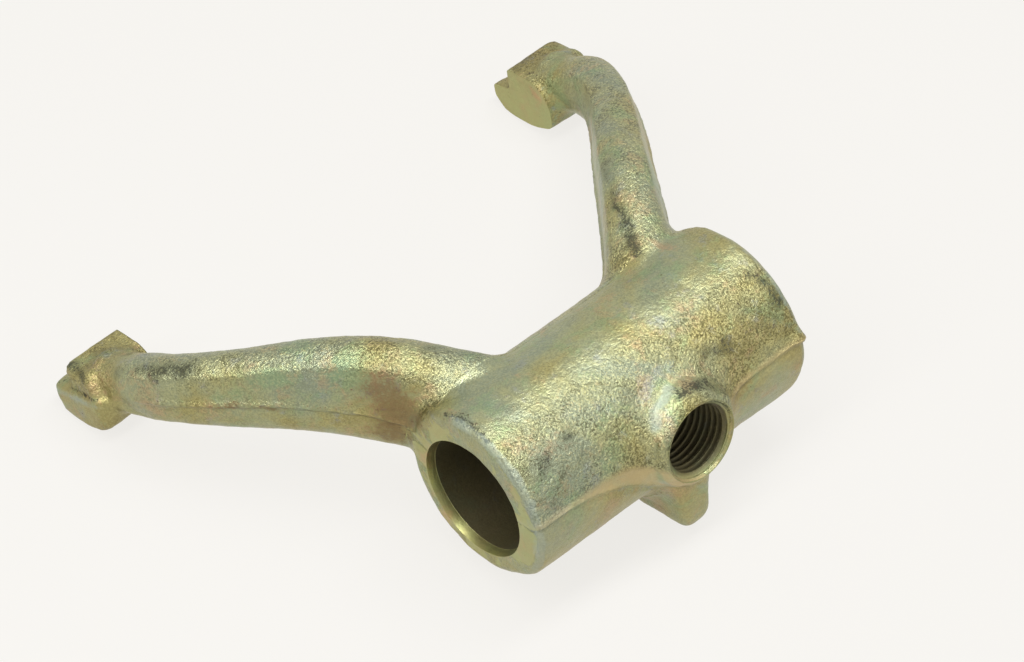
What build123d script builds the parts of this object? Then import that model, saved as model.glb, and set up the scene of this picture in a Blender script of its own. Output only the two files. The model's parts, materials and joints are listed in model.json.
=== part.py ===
from build123d import *
from math import atan2, cos, degrees, radians, sin, tan
import os

# Clutch release fork: one drop forging with a bored hub, two arms that spread forward to
# flat-faced heads, a tapped boss at the back of the hub and a foot lug under it.
# Millimetres. X is the bore axis, Y points from the hub to the heads, Z is up.
# The forging is drawn with the boss axis level, then laid down on its lug and its two heads.

# Hub
bore_diameter = 25.0
hub_length = 71.9
hub_radius = 18.95
hub_forward = 0.2
hub_rise = 0.15
end_allowance = 0.4
end_rounding = 5.0
end_radius = 20.0
end_setback = 1.0
end_rise = 1.7
spotface_diameter = 38.0
bore_lead_depth = 1.8
bore_lead_width = 0.5

# Tapped boss at the back of the hub, a little off the middle
boss_offset = 3.1
boss_reach = 22.85
boss_radius = 10.0
boss_flare = 14.0
boss_root_blend = 2.5
boss_rim_chamfer = 1.2
thread_diameter = 16.0
thread_pitch = 1.5
countersink_diameter = 17.1
countersink_angle = 90.0

# Foot lug under the boss
lug_offset = 2.8
lug_half_width = 5.3
lug_corner_radius = 3.7
lug_top = 8.0
lug_back = 20.8
lug_front = 1.8
lug_depth = 23.6
lug_rounding = 3.2

# Heads: flat inner faces, a rounded block on a wider band that runs on in front as the toe
face_gap = 106.6
fork_reach = 84.5
head_depth = 12.3
head_width = 14.6
head_top = 10.8
head_bottom = -1.2
head_rounding = 2.7
back_slope = 5.3
back_bulge = 1.6
back_corner = 2.5
band_width = 14.9
band_back_top = 6.8
band_chamfer = 0.7
band_back_rounding = 2.8
heel_rise = 1.9
sole_front_rise = 0.5
sole_drop = 0.7
toe_length = 5.1
toe_shortening = 1.6
toe_top = 4.8
toe_height = 2.8

# Arms: half widths at the parting line, and the heights of crest and belly
root_spread = 14.1
neck_length = 11.0
bend_radius = 34.0
draft_angle = 7.0
root_half_width = 8.8
root_crest = 18.0
root_belly = -12.0
saddle_reach = 12.0
saddle_half_width = 8.0
saddle_crest = 20.0
saddle_belly = -5.5
shoulder_reach = 23.4
shoulder_half_width = 6.7
shoulder_crest = 23.4
shoulder_belly = 0.0
waist_half_width = 5.9
waist_crest = 23.0
waist_belly = 3.4
neck_half_width = 5.1
neck_crest = 20.1
neck_belly = 4.3
bend_half_width = 5.0
bend_crest = 18.1
bend_belly = 3.8
wrist_half_width = 5.6
wrist_crest = 14.6
wrist_belly = 2.2
tip_half_width = 5.0
tip_crest = 10.0
tip_belly = 0.0

# Places worked out from the sizes above; a metric thread's minor diameter is 1.0825 pitches less
head_middle = face_gap / 2 + head_width / 2
head_back = fork_reach - head_depth
corner_reach = head_back - neck_length
splay = atan2(head_middle - root_spread, corner_reach)
bend_tangent = bend_radius * tan(splay / 2)
bend_start = corner_reach - bend_tangent * cos(splay)
waist_reach = (shoulder_reach + bend_start) / 2
hub_half = hub_length / 2
forged_half = hub_half + end_allowance
bore_radius = bore_diameter / 2
tap_drill_radius = (thread_diameter - 1.0825 * thread_pitch) / 2
draft = radians(draft_angle)


def straight_station(reach):
    """Plane square to the arm's straight run, at a distance forward of the bore axis."""
    x = head_middle - (corner_reach - reach) * tan(splay)
    return Plane(origin=(x, reach, 0), x_dir=(-cos(splay), sin(splay), 0), z_dir=(sin(splay), cos(splay), 0))


def bend_station(turn):
    """Plane square to the arm inside its bend, where the arm still heads outward by this angle."""
    x = head_middle - bend_radius * (1 - cos(turn))
    y = corner_reach + bend_tangent - bend_radius * sin(turn)
    return Plane(origin=(x, y, 0), x_dir=(-cos(turn), sin(turn), 0), z_dir=(sin(turn), cos(turn), 0))


def forged_section(plane, half_width, crest, belly):
    """Section of the arm: widest at the parting line, drafted walls, round crown and round belly."""
    parting = (crest + belly) / 2
    height = crest - parting
    crown = (half_width * cos(draft) - height * sin(draft)) / (1 - sin(draft))
    touch_x = crown * cos(draft)
    touch_rise = height - crown + crown * sin(draft)
    with BuildSketch(plane) as section:
        with BuildLine():
            for side in (1, -1):
                right_touch = (touch_x, parting + side * touch_rise)
                left_touch = (-touch_x, parting + side * touch_rise)
                Line((half_width, parting), right_touch)
                ThreePointArc(right_touch, (0, parting + side * height), left_touch)
                Line(left_touch, (-half_width, parting))
        make_face()
    return section.sketch


def band_outline(across, drop, shortening):
    """Outline of a head's band and toe at a distance from the inner face, its sole let down."""
    toe_front = fork_reach + toe_length - shortening
    heel = (head_back, head_bottom + heel_rise - drop)
    sole_middle = ((head_back + fork_reach) / 2, head_bottom - drop)
    sole_end = (sole_front[0] - shortening / 2, sole_front[1] - drop)
    with BuildSketch(face_plane.offset(across)) as outline:
        with BuildLine():
            toe_low = (toe_front, toe_top - toe_height)
            Polyline(heel, (head_back, band_back_top), (toe_front, toe_top), toe_low, sole_end)
            ThreePointArc(sole_end, sole_middle, heel)
        make_face()
    return outline.sketch


# Head on the +X side: the band, whose sole falls away outward, and the block on it
face_plane = Plane.YZ.offset(face_gap / 2)
sole_front = (fork_reach + toe_length / 2, head_bottom + sole_front_rise)
with BuildPart() as band:
    loft([band_outline(0, 0, 0), band_outline(band_width, sole_drop, toe_shortening)], ruled=True)
    fillet(band.faces().sort_by(Axis.X)[-1].edges().sort_by(Axis.Y)[0], radius=band_back_rounding)
    chamfer(band.faces().sort_by(Axis.X)[-1].edges().sort_by(Axis.Y)[1:], length=band_chamfer)
with BuildPart() as block:
    with BuildSketch(face_plane) as block_outline:
        with BuildLine():
            block_low = toe_top - toe_height
            back_low = (head_back, band_back_top - toe_height)
            back_top = (head_back + back_slope, head_top)
            SagittaArc(back_low, back_top, back_bulge)
            Polyline(
                back_top, (fork_reach, head_top), (fork_reach, block_low), (head_back, block_low), back_low,
            )
        make_face()
        fillet(block_outline.vertices().sort_by_distance(back_top)[0], radius=back_corner)
    extrude(amount=head_width)
    outer_edges = block.faces().sort_by(Axis.X)[-1].edges()
    fillet(outer_edges.sort_by(Axis.Z)[1:], radius=head_rounding)

# Arm with its head, +X side
with BuildPart() as arm:
    stations = [
        forged_section(straight_station(0), root_half_width, root_crest, root_belly),
        forged_section(straight_station(saddle_reach), saddle_half_width, saddle_crest, saddle_belly),
        forged_section(straight_station(shoulder_reach), shoulder_half_width, shoulder_crest, shoulder_belly),
        forged_section(straight_station(waist_reach), waist_half_width, waist_crest, waist_belly),
        forged_section(bend_station(splay), neck_half_width, neck_crest, neck_belly),
        forged_section(bend_station(splay / 2), bend_half_width, bend_crest, bend_belly),
        forged_section(bend_station(0), wrist_half_width, wrist_crest, wrist_belly),
        forged_section(Plane.XZ.offset(-fork_reach).shift_origin((head_middle, fork_reach, 0)),
                       tip_half_width, tip_crest, tip_belly),
    ]
    loft(stations)
    add([band.part, block.part])

with BuildPart() as clutch_fork:
    # Hub as forged, its middle a little off the bore's
    with BuildSketch(Plane.YZ):
        with Locations((hub_forward, hub_rise)):
            Circle(hub_radius)
    extrude(amount=forged_half, both=True)

    # Forged ends are rounded about a centre a little behind and above the bore
    for end in (1, -1):
        with BuildSketch(Plane.XY.offset(end_rise)):
            with BuildLine():
                tip = end * forged_half
                flat_edge = (tip, end_radius - end_rounding - end_setback)
                rim_edge = (tip - end * end_rounding, end_radius - end_setback)
                clear = (tip + end, end_radius + end_rounding)
                RadiusArc(flat_edge, rim_edge, -end * end_rounding)
                Polyline(rim_edge, (rim_edge[0], clear[1]), clear, (clear[0], flat_edge[1]), flat_edge)
            make_face()
        revolve(axis=Axis((0, -end_setback, end_rise), (1, 0, 0)), mode=Mode.SUBTRACT)

    # Tapped boss, flaring into the hub, and the drafted lug under it
    boss_plane = Plane(origin=(boss_offset, -boss_reach, 0), x_dir=(1, 0, 0), z_dir=(0, 1, 0))
    with BuildSketch(boss_plane):
        Circle(boss_radius)
    extrude(amount=boss_reach - bore_radius, taper=-boss_flare)
    boss_edges = clutch_fork.edges(Select.NEW)
    fillet(boss_edges.filter_by(lambda edge: edge.center().Y > -hub_radius), radius=boss_root_blend)
    rim = clutch_fork.faces().sort_by(Axis.Y)[0].edges()
    chamfer(rim, length=boss_rim_chamfer)
    with BuildSketch(Plane.XY.offset(-lug_top)) as lug_plan:
        with Locations((lug_offset, -(lug_back + lug_front) / 2)):
            RectangleRounded(2 * lug_half_width, lug_back - lug_front, lug_corner_radius)
    extrude(amount=lug_top - lug_depth, taper=draft_angle)
    fillet(clutch_fork.faces().sort_by(Axis.Z)[0].edges(), radius=lug_rounding)

    # The two arms
    add(arm.part)
    mirror(arm.part, about=Plane.YZ)

    # Machining: end faces, bore with its leads, tapped hole with its countersink
    for end in (1, -1):
        with BuildSketch(Plane.YZ.offset(end * hub_half)):
            Circle(spotface_diameter / 2)
        extrude(amount=end * forged_half, mode=Mode.SUBTRACT)
        with BuildSketch(Plane.YZ.offset(end * hub_half)):
            Circle(bore_radius + bore_lead_width)
        lead_angle = degrees(atan2(bore_lead_width, bore_lead_depth))
        extrude(amount=-end * bore_lead_depth, taper=lead_angle, mode=Mode.SUBTRACT)
    with BuildSketch(Plane.YZ):
        Circle(bore_radius)
    extrude(amount=hub_length, both=True, mode=Mode.SUBTRACT)
    with BuildSketch(boss_plane):
        Circle(tap_drill_radius)
    extrude(amount=boss_reach, mode=Mode.SUBTRACT)
    with BuildSketch(boss_plane):
        Circle(countersink_diameter / 2)
    countersink_depth = (countersink_diameter / 2 - tap_drill_radius) / tan(radians(countersink_angle / 2))
    extrude(amount=countersink_depth, taper=countersink_angle / 2, mode=Mode.SUBTRACT)

# Laid down: the floor touches the front end of the lug's foot and the outer front of both soles
lug_foot_front = lug_front + (lug_depth - lug_top) * tan(draft) + lug_rounding
sole_low = sole_front[1] - sole_drop
sole_reach = sole_front[0] - toe_shortening / 2
lie_angle = degrees(atan2(lug_depth + sole_low, sole_reach + lug_foot_front))
with BuildPart() as resting_fork:
    add(clutch_fork.part, rotation=(-lie_angle, 0, 0))

resting_fork.part.label = "clutch_fork"
os.makedirs("parts", exist_ok=True)
export_step(resting_fork.part, "parts/clutch_fork.step")
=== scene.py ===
import json
import math

import bmesh
import bpy
import numpy as np
from mathutils import Euler, Matrix, Vector, noise


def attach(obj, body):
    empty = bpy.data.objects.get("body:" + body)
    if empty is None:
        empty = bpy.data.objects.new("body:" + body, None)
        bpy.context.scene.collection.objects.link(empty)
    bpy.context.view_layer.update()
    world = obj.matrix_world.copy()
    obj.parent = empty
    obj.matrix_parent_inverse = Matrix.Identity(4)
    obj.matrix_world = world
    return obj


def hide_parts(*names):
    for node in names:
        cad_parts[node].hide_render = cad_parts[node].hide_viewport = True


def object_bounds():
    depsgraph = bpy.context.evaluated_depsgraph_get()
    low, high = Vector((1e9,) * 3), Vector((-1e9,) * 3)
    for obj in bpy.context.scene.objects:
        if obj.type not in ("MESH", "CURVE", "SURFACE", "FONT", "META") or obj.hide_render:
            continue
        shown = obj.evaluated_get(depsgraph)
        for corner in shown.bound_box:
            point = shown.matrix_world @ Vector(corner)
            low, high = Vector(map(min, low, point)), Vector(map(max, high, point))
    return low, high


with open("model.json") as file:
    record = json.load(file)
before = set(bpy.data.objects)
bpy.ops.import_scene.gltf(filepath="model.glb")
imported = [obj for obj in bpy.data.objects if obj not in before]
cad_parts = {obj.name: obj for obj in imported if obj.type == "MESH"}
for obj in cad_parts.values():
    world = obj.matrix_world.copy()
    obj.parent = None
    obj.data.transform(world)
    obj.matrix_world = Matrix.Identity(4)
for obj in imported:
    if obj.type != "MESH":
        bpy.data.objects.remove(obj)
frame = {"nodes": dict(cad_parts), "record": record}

# Clutch release fork: rough drop forging under yellow zinc chromate, machined at the bore, the hub's
# ends, the tapped hole and the heads. Metres, in the row's frame.
MM = 0.001
cad_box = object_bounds()
fork_node = frame["nodes"]["clutch_fork"]
mounts = {mount["name"]: mount for mount in frame["record"]["mounts"]}

# Sizes that the frame states
bore_radius = mounts["shaft_bore"]["dims"]["r_mm"] * MM
hub_half = mounts["hub_end_right"]["pos_m"][0]
face_half = mounts["bearing_face_right"]["pos_m"][0]
thread_minor = mounts["lock_bolt_hole"]["dims"]["r_mm"] * MM
thread_mouth_way = Vector(mounts["lock_bolt_hole"]["axis"])
boss_offset = mounts["lock_bolt_hole"]["pos_m"][0]

# The forging's own axes: across, towards the heads, and up from its parting plane
ahead = -thread_mouth_way
upright = Vector((1, 0, 0)).cross(ahead)
forged_axes = Matrix(((1, 0, 0), ahead, upright)).transposed()

# Sizes of the tapped hole, the bore's leads and the hub, as the solid has them
thread_pitch = 1.5 * MM
thread_major = 8.0 * MM
boss_reach = 22.85 * MM
countersink_radius = 8.55 * MM
bore_lead_depth = 1.8 * MM
bore_lead_width = 0.5 * MM
spotface_radius = 19.0 * MM
hub_radius = 18.95 * MM

# Sizes of the forged skin: its mesh, stock left for machining, and rounds of evening out
skin_voxel = 0.56 * MM
edge_radius = 1.9 * MM
pad_root = 1.5 * MM
pad_stock = 1.2 * MM
plug_overlap = 1.2 * MM
blend_rounds = 170
web_fills = 3
seam_reach_rounds = 25
seam_rounds = 60
settle_rounds = 5
fill_floor = 0.05 * MM
seam_depth = 0.12 * MM
full_crease = 1.2 * MM

# Waves to a metre of the skin's swells, its pits, the boss's lumps and the wandering edges of its marks
swell_waves = 90
pit_waves = 330
wander_waves = 260
wander_reach = 1.3 * MM
wander_seed = 4

# Stretches forward of the bore axis over which a form sets in or dies out
root_begins = (1 * MM, 7 * MM)
shoulder_begins = (14 * MM, 24 * MM)
web_begins = (58 * MM, 66 * MM)
flash_ends = (58 * MM, 68 * MM)
shoulder_ends = (66 * MM, 72 * MM)
head_begins = (66 * MM, 74 * MM)
crisp_head = (70 * MM, 74 * MM)
band_begins = (71 * MM, 73 * MM)
ledge_begins = (73 * MM, 76 * MM)
web_ends = (79 * MM, 82.5 * MM)
toe_begins = (81 * MM, 84 * MM)

# Stretches behind the bore axis: the hub's wall ends, and the boss's rim and lip set in
wall_ends = (18.9 * MM, 19.8 * MM)
rim_begins = (19 * MM, 21.5 * MM)
lip_begins = (20.5 * MM, 21.8 * MM)

# Sizes of the cutters and tolerances for finding the surfaces that they leave
cutter_clearance = 3 * MM
mill_start = 66 * MM
mill_overlap = 1.8 * pad_stock
lead_ring = 0.15 * MM
thread_seat = 0.05 * MM
flat_within = 0.01 * MM
same_point = 0.001 * MM
on_face = 0.02 * MM
on_wall = 0.05 * MM
round_segments = 96

# Turns in degrees past which an edge stays sharp
fork_edge_turn = 38
thread_edge_turn = 35


def to_forged(points):
    """Row frame to the forging's axes, for an array of points."""
    return points @ np.array(forged_axes)


def mesh_arrays(mesh):
    """Vertex places and edges of a mesh as arrays."""
    places = np.empty(len(mesh.vertices) * 3)
    mesh.vertices.foreach_get("co", places)
    edges = np.empty(len(mesh.edges) * 2, dtype=int)
    mesh.edges.foreach_get("vertices", edges)
    return places.reshape(-1, 3), edges.reshape(-1, 2)


def vertex_normals(mesh):
    """Vertex normals as an array."""
    normals = np.empty(len(mesh.vertices) * 3)
    mesh.vertex_normals.foreach_get("vector", normals)
    return normals.reshape(-1, 3)


def spread(values, edges, rounds):
    """Values at the vertices, each moved half way to its neighbours' mean, a number of times."""
    first, second = edges.T
    count = len(values)
    valence = np.bincount(first, minlength=count) + np.bincount(second, minlength=count)
    result = values.copy()
    columns = result.reshape(count, -1)
    for _ in range(rounds):
        for column in columns.T:
            total = np.bincount(first, column[second], count) + np.bincount(second, column[first], count)
            column += 0.5 * (total / valence - column)
    return columns.reshape(values.shape)


def smooth_step(value, low, high):
    """0 below low, 1 above high, with a soft run between."""
    part = np.clip((value - low) / (high - low), 0, 1)
    return part * part * (3 - 2 * part)


def bell(distance, width):
    """1 at no distance, falling away to both sides over a width."""
    return np.exp(-(distance / width) ** 2)


def turned_solid(name, profile, axis, start):
    """Closed solid turned about an axis from (distance, radius) points."""
    mesh = bmesh.new()
    side = axis.orthogonal().normalized()
    other = axis.cross(side)
    rings = []
    for distance, radius in profile:
        ring = []
        for step in range(round_segments):
            angle = math.tau * step / round_segments
            out = side * math.cos(angle) + other * math.sin(angle)
            ring.append(mesh.verts.new(start + axis * distance + out * radius))
        rings.append(ring)
    for lower, upper in zip(rings, rings[1:]):
        for step in range(round_segments):
            after = (step + 1) % round_segments
            mesh.faces.new((lower[step], lower[after], upper[after], upper[step]))
    mesh.faces.new(list(reversed(rings[0])))
    mesh.faces.new(rings[-1])
    return finished_mesh(name, mesh)


def finished_mesh(name, mesh):
    """Object made of a bmesh, with its normals outward."""
    bmesh.ops.recalc_face_normals(mesh, faces=mesh.faces)
    data = bpy.data.meshes.new(name)
    mesh.to_mesh(data)
    mesh.free()
    made = bpy.data.objects.new(name, data)
    bpy.context.scene.collection.objects.link(made)
    return made


def applied(piece):
    """The piece with its modifiers made real."""
    graph = bpy.context.evaluated_depsgraph_get()
    data = bpy.data.meshes.new_from_object(piece.evaluated_get(graph))
    piece.modifiers.clear()
    piece.data = data
    return piece


def machined_away(piece, cutter):
    """Cuts the cutter's solid out of the piece and drops the cutter."""
    cut = piece.modifiers.new("machining", "BOOLEAN")
    cut.operation = "DIFFERENCE"
    cut.solver = "EXACT"
    cut.object = cutter
    applied(piece)
    bpy.data.objects.remove(cutter)
    return piece


def box_solid(name, low, high):
    """Closed box between two corners."""
    mesh = bmesh.new()
    bmesh.ops.create_cube(mesh, size=1)
    centre = (Vector(low) + Vector(high)) / 2
    size = Vector(high) - Vector(low)
    place = Matrix.Translation(centre) @ Matrix.Diagonal(size).to_4x4()
    bmesh.ops.transform(mesh, matrix=place, verts=mesh.verts)
    return finished_mesh(name, mesh)


def face_pad(side):
    """Stock left on a head's inner face, to be milled off after the skin is made."""
    mesh = bmesh.new()
    mesh.from_mesh(fork_node.data)
    keep = {
        face for face in mesh.faces
        if all(abs(vertex.co.x - side * face_half) < flat_within for vertex in face.verts)
    }
    bmesh.ops.delete(mesh, geom=[face for face in mesh.faces if face not in keep], context="FACES")
    bmesh.ops.remove_doubles(mesh, verts=mesh.verts, dist=same_point)
    bmesh.ops.translate(mesh, verts=mesh.verts, vec=(side * pad_root, 0, 0))
    grown = bmesh.ops.extrude_face_region(mesh, geom=list(mesh.faces), use_keep_orig=True)
    moved = [item for item in grown["geom"] if isinstance(item, bmesh.types.BMVert)]
    bmesh.ops.translate(mesh, verts=moved, vec=(-side * (pad_root + pad_stock), 0, 0))
    return finished_mesh("face_pad", mesh)


# Where an arm widens into its head, on the forging's axes in millimetres, for the +X side
wrist_outline = [
    (55.2, 67.2, 9.7), (65.0, 67.2, 9.7), (56.4, 67.2, 12.8), (63.8, 67.2, 12.8), (60.2, 67.2, 15.4),
    (56.4, 67.2, 6.0), (63.8, 67.2, 6.0),
    (54.8, 78.8, 10.6), (64.8, 78.8, 10.6), (66.4, 78.8, 9.2), (66.8, 78.8, 6.6), (54.6, 78.8, 6.4),
]


def wrist_web(side):
    """Stock that carries an arm smoothly into the back of its head."""
    mesh = bmesh.new()
    for across, reach, height in wrist_outline:
        mesh.verts.new(forged_axes @ Vector((side * across, reach, height)) * MM)
    bmesh.ops.convex_hull(mesh, input=mesh.verts)
    return finished_mesh("wrist_web", mesh)


# Heights of the parting line along the arms, at distances forward of the bore axis
parting_reach = np.array([0, 12, 23.4, 37.8, 52, 62, 73, 84.5]) * MM
parting_height = np.array([3.0, 7.25, 11.7, 13.2, 12.2, 10.95, 8.4, 5.0]) * MM


def joined(pieces):
    """One object holding the meshes of several, the first one's name kept."""
    mesh = bmesh.new()
    for piece in pieces:
        mesh.from_mesh(piece.data)
    for piece in pieces[1:]:
        bpy.data.objects.remove(piece)
    data = bpy.data.meshes.new(pieces[0].name)
    mesh.to_mesh(data)
    mesh.free()
    pieces[0].data = data
    return pieces[0]


def raw_forging():
    """Skin of the forging with its holes filled and stock left on the machined faces."""
    blank = bpy.data.objects.new("forged_fork", fork_node.data.copy())
    bpy.context.scene.collection.objects.link(blank)
    across = Vector((1, 0, 0))
    bore_plug = turned_solid(
        "bore_plug",
        [(-hub_half, bore_radius + plug_overlap), (hub_half, bore_radius + plug_overlap)],
        across, Vector(),
    )
    boss_base = Vector((boss_offset, 0, 0))
    hole_plug = turned_solid(
        "hole_plug",
        [(bore_radius / 2, countersink_radius), (boss_reach, countersink_radius)],
        thread_mouth_way, boss_base,
    )
    stock = [make(side) for make in (face_pad, wrist_web) for side in (-1, 1)]
    blank = joined([blank, bore_plug, hole_plug, *stock])
    skin = blank.modifiers.new("skin", "REMESH")
    skin.mode = "VOXEL"
    skin.voxel_size = skin_voxel
    applied(blank)
    return blank


def parting_distance(local):
    """Height of each point over the parting line, in the forging's axes."""
    x, y, z = local.T
    aside = x - boss_offset
    width = np.where(aside < 0, 16.4 * MM, 8 * MM)
    behind = 2.4 * MM - 12.5 * MM * bell(aside, width)
    ahead_of_bore = np.interp(y, parting_reach, parting_height)
    return z - np.where(y < 0, behind, ahead_of_bore)


def rough_distance(local):
    """Height of each point over the line where the hub's rough skin ends, which rises beside the boss."""
    aside = local[:, 0] - boss_offset
    lift = 4.5 * MM * bell(aside + 10 * MM, 12 * MM) * (aside < 0) * (local[:, 1] < 0)
    return parting_distance(local) - lift


def band_distance(local):
    """Height of each point over the edge where a head's block stands on its band."""
    _, y, z = local.T
    front_reach = 84.1 * MM
    front_height = 5.2 * MM
    slope = 0.165
    return z - front_height - (front_reach - y) * slope


def outer_side(local, facing):
    """1 on the outer side of a head, which looks away from the fork's middle."""
    x, y, _ = local.T
    return smooth_step(facing[:, 0] * np.sign(x), 0.2, 0.6) * smooth_step(y, *band_begins)


def arm_side(local):
    """1 where the hub's end runs into an arm."""
    _, y, z = local.T
    return smooth_step(y, *root_begins) * smooth_step(z, -9 * MM, -5 * MM)


def near(local, place, size):
    """1 at a place given in millimetres on the forging's axes, falling away over a size in millimetres."""
    away = (local - np.array(place) * MM) / (size * MM)
    return np.exp(-(away ** 2).sum(axis=1))


def along(local, places, size):
    """1 on a run of places, falling away over a size in millimetres."""
    best = np.zeros(len(local))
    for start, end in zip(places, places[1:]):
        start = np.array(start) * MM
        run = np.array(end) * MM - start
        share = np.clip((local - start) @ run / (run @ run), 0, 1)
        away = (local - start - share[:, None] * run) / (size * MM)
        best = np.maximum(best, np.exp(-(away ** 2).sum(axis=1)))
    return best


# Dents and the nub of flash: place on the forging's axes, size and height, all in millimetres
dents = [
    ((-20.3, -16.9, 8.2), 1.7, 0.35), ((12.0, -16.0, 10.0), 2.2, 0.2), ((-4.0, -15.5, 11.0), 2.0, 0.22),
    ((-29.0, 1.5, 18.6), 1.6, 0.2), ((25.0, -14.5, 12.0), 1.8, 0.2), ((-25.6, 18.4, 21.5), 1.4, 0.25),
    ((30.5, 4.0, 18.2), 2.0, 0.22), ((-44.0, 34.0, 21.0), 1.8, 0.15), ((20.0, -5.0, 18.3), 1.4, 0.15),
    ((9.0, -12.0, 14.5), 1.4, 0.25), ((-33.0, -8.0, -15.0), 2.5, 0.2), ((33.0, 28.0, 21.0), 1.6, 0.15),
]
flash_nub = ((34.6, -18.6, 3.0), 1.5, 0.9)


def corner_fill(places, edges, normals):
    """How far each point has to rise to soften the inner corner it lies in."""
    evened = spread(places, edges, blend_rounds)
    rise = np.einsum("ij,ij->i", evened - places, normals)
    return np.clip(rise - fill_floor, 0, None)


def forge_skin(blank):
    """Fills the inner corners as the forging die leaves them, and gives the skin its uneven surface."""
    mesh = blank.data
    places, edges = mesh_arrays(mesh)
    normals = vertex_normals(mesh)
    _, y, z = to_forged(places).T
    toe = smooth_step(y, *toe_begins)
    ledge = smooth_step(y, *ledge_begins) * smooth_step(-z, -8 * MM, -6 * MM)
    wrist = smooth_step(y, *web_begins) * (1 - smooth_step(y, *web_ends))
    open_skin = 1 - np.maximum(toe, ledge)
    fill = corner_fill(places, edges, normals) * open_skin
    places = places + normals * fill[:, None]
    for _ in range(web_fills):
        more = corner_fill(places, edges, normals) * open_skin * wrist
        places = places + normals * more[:, None]
    seam = np.clip(spread(fill, edges, seam_reach_rounds) / seam_depth, 0, 1) * wrist * open_skin
    places += (spread(places, edges, seam_rounds) - places) * seam[:, None]
    settled = spread(places, edges, settle_rounds)
    arms_and_hub = 1 - 0.85 * smooth_step(y, *crisp_head)
    places += (settled - places) * arms_and_hub[:, None]
    # Corner fill depth, which the finish uses to paint shade into creases
    keep_mark(mesh, "crease", fill / full_crease)
    local = worn_hub_edge(to_forged(places))
    places = local @ np.array(forged_axes).T
    facing = to_forged(normals)
    relief = np.array([skin_relief(Vector(point)) for point in local])
    relief += parting_relief(local, facing) + arm_and_head_relief(local, facing) + handling_relief(local)
    places = places + normals * relief[:, None]
    low, high = (np.array(corner) for corner in cad_box)
    places = np.clip(places, low, high)
    mesh.vertices.foreach_set("co", places.ravel())
    mesh.update()
    return blank


def worn_hub_edge(local):
    """Rounds the outer edge of the hub's two ends, except where an arm runs into it."""
    x, y, z = local.T
    radius = np.hypot(y, z)
    reach = np.abs(x)
    over_x = np.maximum(reach - (hub_half - edge_radius), 0)
    over_radius = np.maximum(radius - (hub_radius - edge_radius), 0)
    length = np.hypot(over_x, over_radius)
    on_hub = radius < hub_radius + 0.6 * MM
    inside_corner = (over_x > 0) & (over_radius > 0) & (length > edge_radius) & on_hub
    pull = np.where(inside_corner, edge_radius / np.maximum(length, 1e-9), 1)
    pull = 1 + (pull - 1) * (1 - arm_side(local))
    new_reach = np.where(inside_corner, hub_half - edge_radius + over_x * pull, reach)
    new_radius = np.where(inside_corner, hub_radius - edge_radius + over_radius * pull, radius)
    grow = new_radius / np.maximum(radius, 1e-9)
    return np.stack([np.sign(x) * new_reach, y * grow, z * grow], axis=1)


def skin_relief(point):
    """Height of the forged skin over its plain form: broad waves, hammer marks and small pits."""
    broad = noise.fractal(point * swell_waves, 1.0, 2.0, 2) * 0.13 * MM
    close = noise.fractal(point * pit_waves + Vector((7, 3, 5)), 0.8, 2.1, 3) * 0.085 * MM
    return broad + close


def parting_relief(local, facing):
    """Flash ridge and groove at the parting line, the lower die's mismatch, the rough skin's raised edge."""
    over = parting_distance(local)
    y = local[:, 1]
    upright_wall = smooth_step(1 - np.abs(facing[:, 2]), 0.15, 0.5)
    off_boss = 1 - smooth_step(-y, *wall_ends)
    off_heads = 1 - smooth_step(y, *flash_ends)
    plain = upright_wall * off_boss * off_heads
    ridge = 0.34 * MM * bell(over, 0.5 * MM)
    groove = -0.12 * MM * bell(over + 1.1 * MM, 0.5 * MM)
    under = 0.2 * MM * smooth_step(-over, 1.2 * MM, 2.2 * MM) * smooth_step(over, -8 * MM, -3.5 * MM)
    rough_edge = 0.16 * MM * bell(rough_distance(local), 0.7 * MM)
    return (ridge + groove + under + rough_edge) * plain


def arm_and_head_relief(local, facing):
    """Full shoulders along the arms, a neck drawn in behind each head, the block set back over its band."""
    x, y, z = local.T
    on_arms = smooth_step(y, *shoulder_begins) * (1 - smooth_step(y, *shoulder_ends))
    shoulders = 0.35 * MM * on_arms * bell(facing[:, 2] - 0.62, 0.17)
    over_band = band_distance(local)
    inset = smooth_step(over_band, -0.1 * MM, 0.4 * MM) * (1 - smooth_step(over_band, 1.5 * MM, 4.5 * MM))
    setback = 0.45 * MM * inset * outer_side(local, facing)
    corner_reach = 72.6 * MM
    corner_height = 5 * MM
    corner_lean = 0.85
    past_corner = (y - corner_reach) - (z - corner_height) * corner_lean
    outward_or_up = smooth_step(facing[:, 0] * np.sign(x) + facing[:, 2], 0.1, 0.5)
    neck_skin = smooth_step(z, 5 * MM, 7 * MM) * outward_or_up
    filling = 0.65 * MM * bell(past_corner, 1.7 * MM) * smooth_step(np.abs(x), 55 * MM, 59 * MM)
    thinning = 0.55 * MM * bell(past_corner + 6.5 * MM, 3.6 * MM)
    return shoulders - setback + (filling - thinning) * neck_skin


def handling_relief(local):
    """Dents, a nub of flash, and the boss's lumpy rim."""
    x, y, z = local.T
    relief = np.zeros(len(local))
    for place, size, depth in dents:
        relief -= depth * MM * near(local, place, size)
    place, size, height = flash_nub
    relief += height * MM * near(local, place, size)
    rim_distance = np.hypot(x - boss_offset, z)
    rim = smooth_step(rim_distance, 8.4 * MM, 9.2 * MM) * smooth_step(-y, *rim_begins)
    lumps = np.array([noise.noise(Vector(point) * pit_waves) for point in local])
    return relief - rim * 0.28 * MM * (0.45 - lumps)


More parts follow.
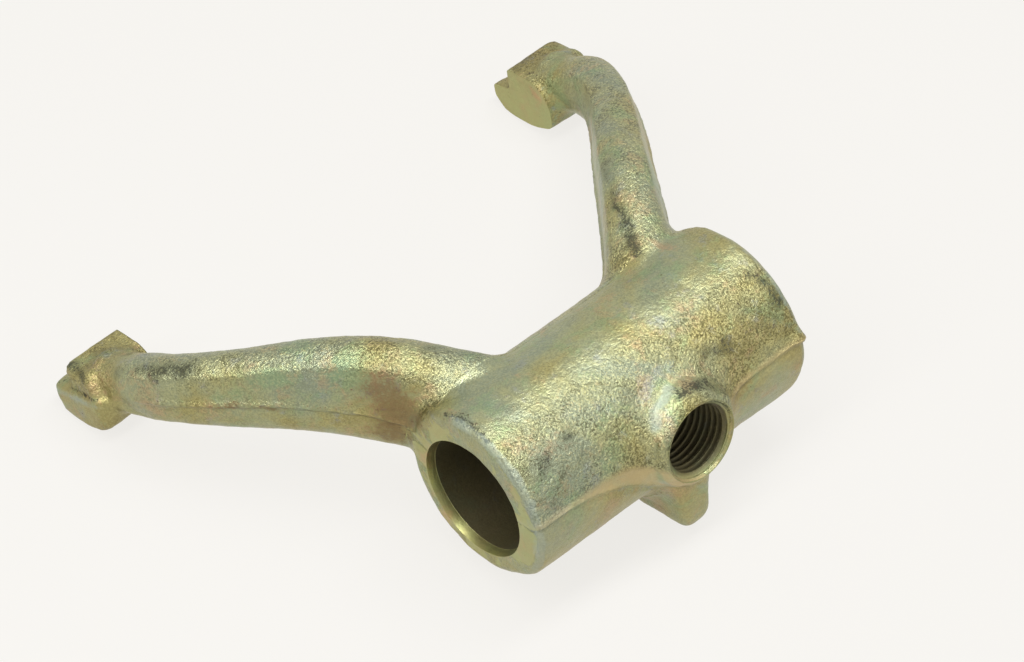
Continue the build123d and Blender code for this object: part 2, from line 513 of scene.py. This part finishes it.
def machine(blank):
    """Bore with its leads, spot-faced hub ends, tapping hole, and the two milled head faces."""
    across = Vector((1, 0, 0))
    clear = cutter_clearance
    lead_end = hub_half - bore_lead_depth
    mouth_radius = bore_radius + bore_lead_width + bore_lead_width / bore_lead_depth * clear
    bore_profile = [
        (-hub_half - clear, mouth_radius),
        (-lead_end, bore_radius),
        (-lead_end + lead_ring, bore_radius),
        (lead_end - lead_ring, bore_radius),
        (lead_end, bore_radius),
        (hub_half + clear, mouth_radius),
    ]
    spotface_profile = [(hub_half, spotface_radius), (hub_half + clear, spotface_radius)]
    for side in (-1, 1):
        machined_away(blank, turned_solid("spotface", spotface_profile, across * side, Vector()))
        inner, outer = sorted((side * face_half, side * (face_half - mill_overlap)))
        low = (inner, mill_start, cad_box[0].z - clear)
        high = (outer, cad_box[1].y + clear, cad_box[1].z + clear)
        machined_away(blank, box_solid("mill", low, high))
    machined_away(blank, turned_solid("reamer", bore_profile, across, Vector()))
    wall = thread_major + thread_seat
    sink_depth = countersink_radius - wall
    drill_profile = [
        (0, wall),
        (boss_reach - sink_depth, wall),
        (boss_reach + clear, countersink_radius + clear),
    ]
    boss_middle = Vector((boss_offset, 0, 0))
    machined_away(blank, turned_solid("drill", drill_profile, thread_mouth_way, boss_middle))
    return blank


def keep_mark(mesh, name, values):
    """A number from 0 to 1 at each vertex, for the finish to use."""
    held = mesh.attributes.new(name, "FLOAT", "POINT")
    held.data.foreach_set("value", np.clip(values, 0, 1))


# Where the finish differs, and where shade is painted: places of a run on the forging's axes and its size,
# in millimetres, and its depth
# Painted shade: dark runs that stand in for shade and for dark reflections on the metal
painted_shade_runs = [
    ([(34.5, 32.6, 22.4), (30.7, 27.3, 22.6), (25.6, 20.0, 21.6)], 1.4, 0.6),
    ([(26.0, 20.5, 21.6), (22.9, 13.9, 20.2), (21.2, 9.6, 19.1)], 1.7, 1.0),
    ([(-62.1, 64.5, 16.4), (-60.6, 59.2, 17.6), (-57.5, 53.0, 18.8)], 1.6, 0.9),
    ([(-27.5, 18.4, 21.5), (-24.0, 18.0, 21.0)], 1.3, 0.7),
    ([(-65.6, 83.3, 10.8), (-66.6, 77.2, 10.0)], 1.5, 0.85),
    ([(-63.0, 68.0, 14.0), (-63.5, 73.0, 11.5)], 1.5, 0.6),
    ([(55.0, 80.0, 10.8), (54.4, 76.0, 10.0)], 0.7, 0.8),
    ([(-35.0, 4.5, 18.6), (-34.8, -1.0, 19.0), (-34.8, -7.0, 17.6)], 1.1, 1.0),
    ([(2.4, -19.6, 10.8), (6.0, -19.8, 10.2), (9.4, -19.6, 8.4)], 1.7, 1.1),
    ([(32.0, -9.0, 16.6), (33.4, -15.0, 11.4)], 1.6, 0.8),
    ([(-22.0, -14.0, 12.8), (-31.0, -15.0, 11.2)], 2.8, 0.6),
    ([(13.0, -15.2, 11.4), (19.0, -16.0, 10.0)], 2.6, 0.6),
    ([(25.0, -14.5, 12.5), (33.0, -17.5, 7.5)], 4.5, 0.42),
    ([(16.0, -15.5, 11.0), (24.0, -17.5, 6.0)], 3.5, 0.3),
    ([(-20.0, -16.5, 9.0), (-31.0, -17.5, 6.0)], 3.5, 0.3),
]
rusty_runs = [
    ([(-37.0, 21.5, 17.0), (-35.6, 17.8, 13.0), (-37.0, 20.0, 8.0)], 5.5, 1.0),
    ([(-59.9, 52.9, 12.4), (-56.2, 46.7, 12.7), (-50.4, 38.7, 12.9)], 0.8, 0.9),
    ([(-50.4, 38.7, 12.9), (-42.0, 27.0, 12.4)], 0.9, 0.5),
    ([(37.0, 21.5, 17.0), (35.6, 17.8, 13.0), (37.0, 20.0, 8.0)], 4.5, 0.5),
]
pale_runs = [
    ([(-6.8, -19.2, 2.5), (-4.8, -18.8, 7.2), (-1.8, -18.1, 10.0), (1.4, -17.4, 11.2)], 1.7, 1.0),
]


def strongest(local, runs):
    """The strongest of several runs at each point, each with its size in millimetres and its depth."""
    best = np.zeros(len(local))
    for run, size, depth in runs:
        best = np.maximum(best, depth * along(local, run, size))
    return best


def mark_machining(mesh, local):
    """Marks the bore's wall, dark from its machined finish and darkened further as painted shade, and the
    faces and leads that are machined bright.
    """
    x, y, z = local.T
    from_bore = np.hypot(y, z)
    lead_end = hub_half - bore_lead_depth - on_wall
    bore = (from_bore < bore_radius + on_wall) & (np.abs(x) < lead_end)
    lead = (from_bore < bore_radius + bore_lead_width + on_wall) & (np.abs(x) > lead_end)
    hub_face = (np.abs(np.abs(x) - hub_half) < on_face) & (from_bore < spotface_radius + 2 * on_wall)
    head_face = (np.abs(np.abs(x) - face_half) < on_face) & (y > mill_start)
    keep_mark(mesh, "bore", bore * 1.0)
    keep_mark(mesh, "machined", (hub_face | head_face | lead) * 1.0)


def mark_skin(mesh, local, facing):
    """Marks coarse skin, dark grain that is painted shade and dark reflection, rust, the yellower parts, a
    tan band that is partly painted light, and pale wear with painted highlights.
    """
    x, y, z = local.T
    over = parting_distance(local)
    from_bore = np.hypot(y, z)
    # Without a seed, vectors of noise start from the clock and differ from run to run
    noise.seed_set(wander_seed)
    strays = np.array([noise.noise_vector(Vector(point) * wander_waves) for point in local])
    wandering = local + strays * wander_reach
    above = smooth_step(rough_distance(local), -0.5 * MM, 1.5 * MM)
    above_parting = smooth_step(over, -0.4 * MM, 0.4 * MM)
    rear = smooth_step(-facing[:, 1], 0.3, 0.6) * (y < 0)
    low_rear = rear * (1 - above)
    crown = smooth_step(facing[:, 2], 0.1, 0.7) * (y > 10 * MM)
    heads = smooth_step(y, *head_begins)
    rough_skin = np.maximum.reduce([rear, 0.75 * crown, 0.5 * heads])
    keep_mark(mesh, "coarse", 0.25 + above * rough_skin - 0.15 * (1 - above) * above_parting)

    outer = outer_side(local, facing)
    band_edge = outer * bell(band_distance(local) - 0.5 * MM, 0.45 * MM)
    head_tops = heads * smooth_step(facing[:, 2], 0.3, 0.8)
    # Painted shade: the dark runs, a dark line where each head's block stands on its band, and darker head
    # tops
    painted_shade_marks = [strongest(wandering, painted_shade_runs), 0.8 * band_edge, 0.34 * head_tops]
    keep_mark(mesh, "dark", np.maximum.reduce(painted_shade_marks))
    keep_mark(mesh, "rust", strongest(wandering, rusty_runs))

    low_ring = smooth_step(-z, 4 * MM, 14 * MM) * (np.abs(x) > hub_half - 6 * MM) * (y < 22 * MM)
    underside = smooth_step(-z, 12 * MM, 18 * MM)
    keep_mark(mesh, "warm", np.maximum.reduce([0.6 * low_rear, 0.7 * low_ring, heads, 0.6 * underside]))
    # Tan on the hub's low rear: partly its own tint, partly painted light lifting a side whose reflection
    # sees shaded floor
    keep_mark(mesh, "tan", low_rear * (0.15 + 0.85 * above_parting))

    # Painted highlights on the hub's end bevel, the flash crest and the top of each head's band, beside pale
    # wear
    at_end = smooth_step(np.abs(x), hub_half - 1.9 * MM, hub_half - 1.2 * MM)
    at_rim = smooth_step(from_bore, hub_radius - 2.2 * MM, hub_radius - 1.2 * MM)
    end_bevel = at_end * at_rim * (from_bore < hub_radius + 0.5 * MM) * (1 - arm_side(local))
    lip = smooth_step(-y, *lip_begins) * (0.5 + 0.5 * smooth_step(-x, -6 * MM, 2 * MM))
    crest = 0.35 * bell(over - 0.1 * MM, 0.45 * MM) * rear
    band_top = outer * bell(band_distance(local) + 1.2 * MM, 1.0 * MM)
    wear_and_highlights = [0.8 * end_bevel, 0.3 * lip, crest, 0.75 * band_top, strongest(wandering, pale_runs)]
    keep_mark(mesh, "pale", np.maximum.reduce(wear_and_highlights))


def mark_finish(piece):
    """Marks on the fork's mesh where the finish differs, and where shade and highlights are painted."""
    mesh = piece.data
    places, _ = mesh_arrays(mesh)
    local = to_forged(places)
    mark_machining(mesh, local)
    mark_skin(mesh, local, to_forged(vertex_normals(mesh)))


def smoothed(piece, turn):
    """Smooth shading, with edges sharper than a turn in degrees kept."""
    piece.data.set_sharp_from_angle(angle=math.radians(turn))
    for polygon in piece.data.polygons:
        polygon.use_smooth = True
    return piece


fork = smoothed(machine(forge_skin(raw_forging())), fork_edge_turn)
mark_finish(fork)


def tapped_thread():
    """Helical thread of the tapped hole, from the bore's wall to the countersink."""
    turns_round = 120
    steps_along = 150
    root_share = 0.12
    flank_share = 0.63
    mouth_tuck = 0.12 * MM
    least_wall = 0.1 * MM
    shell = thread_major + 0.4 * MM
    side = Vector((1, 0, 0))
    other = thread_mouth_way.cross(side)
    middle = Vector((boss_offset, 0, 0))
    mesh = bmesh.new()
    inner_rings = []
    outer_rings = []
    for step in range(steps_along + 1):
        inner_ring = []
        outer_ring = []
        for around in range(turns_round):
            angle = math.tau * around / turns_round
            reach = boss_offset + thread_minor * math.cos(angle)
            start = math.sqrt(bore_radius ** 2 - reach ** 2)
            depth = start + (boss_reach - start) * step / steps_along
            phase = (depth / thread_pitch + angle / math.tau) % 1
            slope = abs(phase - 0.5) * 2
            share = min(max((slope - root_share) / flank_share, 0), 1)
            radius = thread_major - (thread_major - thread_minor) * share
            cone = countersink_radius - (boss_reach - depth)
            radius = max(radius, cone)
            if cone > thread_major - thread_seat:
                radius += mouth_tuck
            out = side * math.cos(angle) + other * math.sin(angle)
            inner_ring.append(mesh.verts.new(middle + thread_mouth_way * depth + out * radius))
            skirt = max(shell, radius + least_wall)
            outer_ring.append(mesh.verts.new(middle + thread_mouth_way * depth + out * skirt))
        inner_rings.append(inner_ring)
        outer_rings.append(outer_ring)
    for rings in (inner_rings, outer_rings):
        for lower, upper in zip(rings, rings[1:]):
            for around in range(turns_round):
                after = (around + 1) % turns_round
                mesh.faces.new((lower[around], lower[after], upper[after], upper[around]))
    for end in (0, -1):
        for around in range(turns_round):
            after = (around + 1) % turns_round
            inner_ring = inner_rings[end]
            outer_ring = outer_rings[end]
            mesh.faces.new((inner_ring[around], inner_ring[after], outer_ring[after], outer_ring[around]))
    return smoothed(finished_mesh("tapped_thread", mesh), thread_edge_turn)


def mark_thread(piece):
    """Marks the thread, darkened as painted shade most of all in its grooves, and its paler countersink."""
    mesh = piece.data
    places, _ = mesh_arrays(mesh)
    x, y, z = to_forged(places).T
    radius = np.hypot(x - boss_offset, z)
    groove = smooth_step(radius, thread_minor, thread_minor + 0.5 * MM)
    mouth = smooth_step(-y, boss_reach - 1.6 * MM, boss_reach - 0.6 * MM)
    # Painted shade in the hole, deepest in the grooves and fading towards the mouth
    keep_mark(mesh, "bore", (0.88 + 0.12 * groove) * (1 - 0.8 * mouth))
    keep_mark(mesh, "machined", mouth * 0.5)
    keep_mark(mesh, "coarse", 0.1 * np.ones(len(radius)))


thread = tapped_thread()
mark_thread(thread)


class Value:
    """A socket of a shader tree. Sums, differences and products of it add Math nodes."""

    def __init__(self, paint, socket):
        self.paint = paint
        self.socket = socket

    def reckon(self, operation, *values):
        """Result of a Math node."""
        return self.paint.node("ShaderNodeMath", {"operation": operation}, dict(enumerate(values)))

    def __add__(self, other):
        return self.reckon("ADD", self, other)

    __radd__ = __add__

    def __sub__(self, other):
        return self.reckon("SUBTRACT", self, other)

    def __rsub__(self, other):
        return self.reckon("SUBTRACT", other, self)

    def __mul__(self, other):
        return self.reckon("MULTIPLY", self, other)

    __rmul__ = __mul__

    def held(self):
        """Kept between 0 and 1."""
        return self.reckon("MINIMUM", self.reckon("MAXIMUM", self, 0), 1)


class Paint:
    """A material and its shader tree."""

    def __init__(self, name):
        self.material = bpy.data.materials.new(name)
        self.material.use_nodes = True
        self.tree = self.material.node_tree
        self.tree.nodes.clear()

    def node(self, kind, settings=None, inputs=None, output=0):
        """A node of a type, its settings set first, then its sockets' values or links; gives one output."""
        made = self.tree.nodes.new(kind)
        for key, setting in (settings or {}).items():
            if key == "stops":
                self.set_stops(made.color_ramp, setting)
            else:
                setattr(made, key, setting)
        for key, value in (inputs or {}).items():
            if isinstance(value, Value):
                self.tree.links.new(value.socket, made.inputs[key])
            else:
                made.inputs[key].default_value = value
        return Value(self, made.outputs[output]) if len(made.outputs) else made

    def set_stops(self, ramp, stops):
        """Colour ramp stops from (place, colour) pairs."""
        while len(ramp.elements) < len(stops):
            ramp.elements.new(1)
        for element, (place, shade) in zip(ramp.elements, stops):
            element.position = place
            element.color = shade

    def noise(self, place, feature, detail=2.0, rough=0.5, twist=0.0):
        """Fractal noise with features of a size in metres."""
        inputs = {"Vector": place, "Scale": 1 / feature, "Detail": detail}
        inputs |= {"Roughness": rough, "Distortion": twist}
        return self.node("ShaderNodeTexNoise", {"noise_dimensions": "3D"}, inputs)

    def ramp(self, value, stops):
        """Colour or grey picked along stops."""
        return self.node("ShaderNodeValToRGB", {"stops": stops}, {"Fac": value})

    def step(self, value, low, high):
        """0 below low and 1 above high, with a soft run between."""
        settings = {"interpolation_type": "SMOOTHSTEP", "clamp": True}
        return self.node("ShaderNodeMapRange", settings, {"Value": value, "From Min": low, "From Max": high})

    def mix(self, share, first, second):
        """Two colours mixed."""
        return self.node("ShaderNodeMix", {"data_type": "RGBA"}, {0: share, 6: first, 7: second}, output=2)

    def moved(self, place, shift):
        """The same place further along, so that two noises differ."""
        return self.node("ShaderNodeVectorMath", {"operation": "ADD"}, {0: place, 1: shift})

    def attribute(self, name):
        """A number kept on the mesh."""
        return self.node("ShaderNodeAttribute", {"attribute_name": name}, output=2)

    def finish(self, surface):
        """Sends the surface to the material's output."""
        self.node("ShaderNodeOutputMaterial", None, {"Surface": surface})
        return self.material


def colour(red, green, blue):
    """Linear colour of a 0 to 255 screen colour, with its alpha."""
    return tuple(((c / 255 + 0.055) / 1.055) ** 2.4 for c in (red, green, blue)) + (1,)


# Colours of the finish, and of painted shade and highlights, as a screen shows them
film_stops = [
    (0.36, colour(142, 150, 126)),
    (0.48, colour(156, 158, 120)),
    (0.60, colour(160, 152, 100)),
    (0.74, colour(146, 134, 90)),
]
milled_stops = [
    (0.42, colour(166, 168, 110)),
    (0.58, colour(168, 162, 108)),
    (0.70, colour(184, 154, 108)),
]
green_film = colour(126, 156, 116)
pink_film = colour(182, 142, 112)
blue_film = colour(134, 142, 150)
pit_brown = colour(72, 68, 38)
bright_grain = colour(212, 206, 150)
# Painted shade, for creases and dark reflections
painted_shade_black = colour(40, 44, 40)
rust_brown = colour(112, 82, 58)
# Pale worn metal, also used as painted highlight
bare_zinc_and_highlight = colour(164, 176, 166)
# Tan tint, also painted light
tan_film_and_light = colour(198, 176, 134)
# Dark machined finish and painted shade of the bore
bore_brown_and_shade = colour(62, 55, 36)


def zinc_chromate():
    """Yellow passivated zinc over a rough forging: film, grain, painted shade in creases and dark runs,
    rust, worn metal with painted highlights, a tan band partly painted light, and a bore darkened by painted
    shade.
    """
    paint = Paint("zinc_chromate")
    place = paint.node("ShaderNodeTexCoord", output=3)
    crease, coarse, dark, rust = (paint.attribute(name) for name in ("crease", "coarse", "dark", "rust"))
    warm, tan, pale = (paint.attribute(name) for name in ("warm", "tan", "pale"))
    bore, machined = (paint.attribute(name) for name in ("bore", "machined"))
    drift = paint.noise(place, 24 * MM, detail=4, rough=0.55, twist=0.6)
    green = paint.noise(paint.moved(place, (0.31, 0, 0)), 9 * MM, detail=7, rough=0.62, twist=0.4)
    pink = paint.noise(paint.moved(place, (0, 0.27, 0)), 7 * MM, detail=7, rough=0.64, twist=0.4)
    blue = paint.noise(paint.moved(place, (0, 0, 0.19)), 4.5 * MM, detail=7, rough=0.66)
    patch = paint.noise(paint.moved(place, (0.17, 0.05, 0)), 6 * MM, detail=3, rough=0.55, twist=0.8)
    speck = paint.noise(place, 1.7 * MM, detail=5, rough=0.66)
    grain = paint.noise(paint.moved(place, (0.11, 0.07, 0)), 0.62 * MM, detail=3, rough=0.6)
    dust = paint.noise(paint.moved(place, (0.02, 0.13, 0)), 0.36 * MM, detail=1, rough=0.5)

    fine = (grain - 0.5) * 0.5 + (speck - 0.5) * 0.5
    film = drift + warm * 0.16 + fine * 0.25
    base = paint.ramp(film, film_stops)
    base = paint.mix(paint.step(green + fine * 0.5, 0.50, 0.66) * 0.5, base, green_film)
    base = paint.mix(paint.step(pink + fine * 0.5, 0.53, 0.70) * 0.42, base, pink_film)
    base = paint.mix(paint.step(blue + fine * 0.5, 0.56, 0.72) * 0.45, base, blue_film)
    uneven = coarse * (0.35 + paint.step(drift + patch - 1.0, -0.12, 0.12) * 0.9)
    rubble = speck * 0.15 + grain * 0.4 + dust * 0.45
    pitted = paint.step(rubble, 0.56, 0.38) * (uneven + 0.2)
    base = paint.mix(pitted.held() * 0.66, base, pit_brown)
    peaks = paint.step(rubble, 0.50, 0.64) * (coarse * 0.6 + 0.2)
    base = paint.mix(peaks.held() * 0.6, base, bright_grain)
    # Painted shade from creases and the dark mark, broken up by grain
    painted_shade_breakup = (speck - 0.5) * 1.4 + (patch - 0.5) * 0.8 + (grain - 0.5) * 1.6 + (dust - 0.5) * 1.8
    painted_shade_share = paint.step(dark * 0.92 + crease * 0.3 + painted_shade_breakup, 0.30, 1.05)
    base = paint.mix(painted_shade_share * 0.85, base, painted_shade_black)
    rusty = paint.step(rust + (speck - 0.5) * 1.4 + (grain - 0.5) * 1.2 + (dust - 0.5), 0.25, 1.0)
    base = paint.mix(rusty * 0.62, base, rust_brown)
    base = paint.mix(machined * 0.72, base, paint.ramp(pink + (drift - 0.5) * 0.6, milled_stops))
    # Pale worn metal, and painted highlights on edges and ridges
    worn_and_highlit = paint.step(pale + (patch - 0.5) * 1.6 + fine * 1.2, 0.35, 1.0)
    base = paint.mix(worn_and_highlit * 0.5, base, bare_zinc_and_highlight)
    # Tan tint and painted light on the low rear band
    base = paint.mix(tan * 0.55, base, tan_film_and_light)
    # Painted shade in the bore and the thread, over their darker machined finish
    base = paint.mix(bore * 0.86, base, bore_brown_and_shade)

    height = grain * (coarse * 0.75 + 0.25) + speck * (coarse * 0.4 + 0.25)
    bump = paint.node(
        "ShaderNodeBump", None,
        {"Strength": 0.9, "Distance": 0.4 * MM, "Height": height * (1 - machined * 0.9) * (1 - bore * 0.6)},
    )
    rough = 0.35 + (speck - 0.5) * 0.2 + painted_shade_share * 0.25 + (rusty + worn_and_highlit + bore) * 0.2
    rough = rough + warm * 0.08 - machined * 0.04
    surface = paint.node("ShaderNodeBsdfPrincipled", None, {
        "Base Color": base, "Metallic": 0.82 - bore * 0.3, "Roughness": rough.held(), "Normal": bump,
    })
    return paint.finish(surface)


finish_coat = zinc_chromate()
for piece in (fork, thread):
    piece.data.materials.clear()
    piece.data.materials.append(finish_coat)
    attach(piece, "root")
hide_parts("clutch_fork")

# Floor and world
floor_half = 3
floor_thickness = 0.01
floor_height = cad_box[0].z
low_corner = (-floor_half, -floor_half, floor_height - floor_thickness)
floor = box_solid("floor", low_corner, (floor_half, floor_half, floor_height))
backdrop = colour(246, 244, 240)
shown_floor = 0.9
floor_glow = 0.97
world_light = 0.42


def seen_directly(paint):
    """1 for what the camera, metal or glass sees, 0 for light on the object."""
    camera_ray = paint.node("ShaderNodeLightPath", output=0)
    glossy_ray = paint.node("ShaderNodeLightPath", output=3)
    transmission_ray = paint.node("ShaderNodeLightPath", output=6)
    return (camera_ray + glossy_ray + transmission_ray).held()


def pale_floor():
    """Matt pale floor that keeps a faint shadow of the object."""
    paint = Paint("pale_floor")
    lit = paint.node("ShaderNodeBsdfDiffuse", None, {"Color": backdrop})
    shown = paint.node("ShaderNodeEmission", None, {"Color": backdrop, "Strength": floor_glow})
    share = seen_directly(paint) * shown_floor
    return paint.finish(paint.node("ShaderNodeMixShader", None, {0: share, 1: lit, 2: shown}))


floor.data.materials.append(pale_floor())


class Surroundings(Paint):
    """The world and its shader tree."""

    def __init__(self, name):
        self.world = bpy.data.worlds.new(name)
        self.world.use_nodes = True
        self.tree = self.world.node_tree
        self.tree.nodes.clear()

    def finish(self, surface):
        """Sends the background to the world's output."""
        self.node("ShaderNodeOutputWorld", None, {"Surface": surface})
        return self.world


def studio_world():
    """Pale surroundings for the camera and for reflections, softer as a light."""
    paint = Surroundings("studio")
    strength = seen_directly(paint) * (1 - world_light) + world_light
    return paint.finish(paint.node("ShaderNodeBackground", None, {"Color": backdrop, "Strength": strength}))


bpy.context.scene.world = studio_world()


def soft_lamp(name, place, aim, size, power):
    """Oblong area lamp, its long side across the fork."""
    light = bpy.data.lights.new(name, "AREA")
    light.shape = "RECTANGLE"
    light.size, light.size_y = size
    light.energy = power
    lamp = bpy.data.objects.new(name, light)
    lamp.location = place
    lamp.visible_camera = False
    lamp.rotation_euler = (Vector(aim) - lamp.location).to_track_quat("-Z", "Y").to_euler()
    bpy.context.scene.collection.objects.link(lamp)
    return lamp


overhead = soft_lamp(
    "overhead", place=Vector((-0.35, 0.035, 0.52)), aim=(-0.35, 0.035, 0), size=(1.4, 0.14), power=6.0,
)
overhead_turn = -5.3
overhead.rotation_euler = (0, 0, math.radians(overhead_turn))
soft_lamp("behind", place=Vector((0.33, -0.55, 0.38)), aim=(0, 0, 0), size=(0.35, 0.25), power=0.6)

# Camera at the photograph's angle, placed on the forging's own axes
camera_data = bpy.data.cameras.new("camera")
camera_data.lens = 176.66
camera_data.sensor_width = 36
camera_data.clip_end = 20
camera = bpy.data.objects.new("camera", camera_data)
camera_place = Matrix.Translation(Vector((-459.833, -592.907, 622.046)) * MM)
camera_turn = Euler([math.radians(turn) for turn in (50.8891, 7.8402, -42.9098)])
camera.matrix_world = forged_axes.to_4x4() @ camera_place @ camera_turn.to_matrix().to_4x4()
bpy.context.scene.collection.objects.link(camera)
bpy.context.scene.camera = camera
bpy.context.scene.view_settings.view_transform = "Standard"
